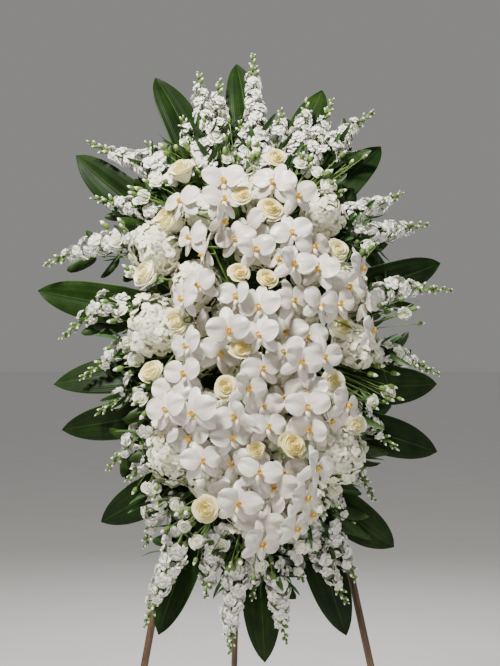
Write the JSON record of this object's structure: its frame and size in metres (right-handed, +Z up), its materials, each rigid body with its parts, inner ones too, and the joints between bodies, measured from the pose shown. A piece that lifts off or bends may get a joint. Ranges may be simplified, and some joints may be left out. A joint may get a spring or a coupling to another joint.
{
  "type": "standing funeral spray",
  "caption": "Tall oval spray of white orchids, roses, hydrangea and stock with dark leaves, on a folding three-legged wooden easel.",
  "frame": {"origin": "middle of the whole object's footprint, on the floor", "axes": "+Z up, the flowers face -Y, +X to the right as seen from the front"},
  "size_m": [0.903, 1.0018, 1.8987],
  "materials": {
    "easel_wood": "peeled and sanded wood, clear varnish worn dull",
    "bolt_steel": "zinc plated steel",
    "floral_foam": "open-celled wet floral foam",
    "cage_wire": "dark green coated wire",
    "leaf_green": "glossy pleated leaf with parallel veins",
    "stock_white": "soft ruffled petals, green at the buds",
    "hydrangea_cream": "soft thin petals, cream with a green tinge",
    "rose_cream": "velvety cream petals, yellower at the heart",
    "orchid_white": "waxy white petals with a fine sparkle, yellow lip",
    "lisianthus_white": "thin satin petals, green at the base"
  },
  "bodies": {
    "stand": {"pole_left": "easel_wood", "pole_right": "easel_wood", "head_block": "easel_wood", "crossbar_lower": "easel_wood", "crossbar_upper": "easel_wood", "hinge_bolt": "bolt_steel", "foam_block": "floral_foam", "foam_cage": "cage_wire", "leaf_01": "leaf_green", "leaf_02": "leaf_green", "leaf_03": "leaf_green", "leaf_04": "leaf_green", "leaf_05": "leaf_green", "leaf_06": "leaf_green", "leaf_07": "leaf_green", "leaf_08": "leaf_green", "leaf_09": "leaf_green", "leaf_10": "leaf_green", "leaf_11": "leaf_green", "leaf_12": "leaf_green", "leaf_13": "leaf_green", "leaf_14": "leaf_green", "leaf_15": "leaf_green", "leaf_16": "leaf_green", "stock_top_left": "stock_white", "stock_top": "stock_white", "stock_top_right": "stock_white", "stock_right": "stock_white", "stock_bottom_right": "stock_white", "stock_bottom": "stock_white", "stock_bottom_left": "stock_white", "stock_left": "stock_white", "stock_left_top": "stock_white", "hydrangea_left": "hydrangea_cream", "hydrangea_left_low": "hydrangea_cream", "hydrangea_right": "hydrangea_cream", "hydrangea_right_low": "hydrangea_cream", "hydrangea_middle": "hydrangea_cream", "roses_left": "rose_cream", "roses_top": "rose_cream", "roses_right": "rose_cream", "roses_middle": "rose_cream", "roses_low": "rose_cream", "orchid_top_left": "orchid_white", "orchid_top": "orchid_white", "orchid_top_right": "orchid_white", "orchid_left": "orchid_white", "orchid_middle": "orchid_white", "orchid_right": "orchid_white", "orchid_left_low": "orchid_white", "orchid_middle_low": "orchid_white", "orchid_right_low": "orchid_white", "orchid_bottom_left": "orchid_white", "orchid_bottom_right": "orchid_white", "lisianthus_left": "lisianthus_white", "lisianthus_top": "lisianthus_white", "lisianthus_right": "lisianthus_white", "lisianthus_bottom": "lisianthus_white"},
    "back_leg": {"pole_back": "easel_wood"}
  },
  "joints": [
    {"name": "back_leg_fold", "type": "hinge", "parent": "stand", "child": "back_leg", "pos_m": [0.01824, -0.06686, 1.7223], "axis": [-1, 0, 0], "range_deg": [0, 28]}
  ]
}
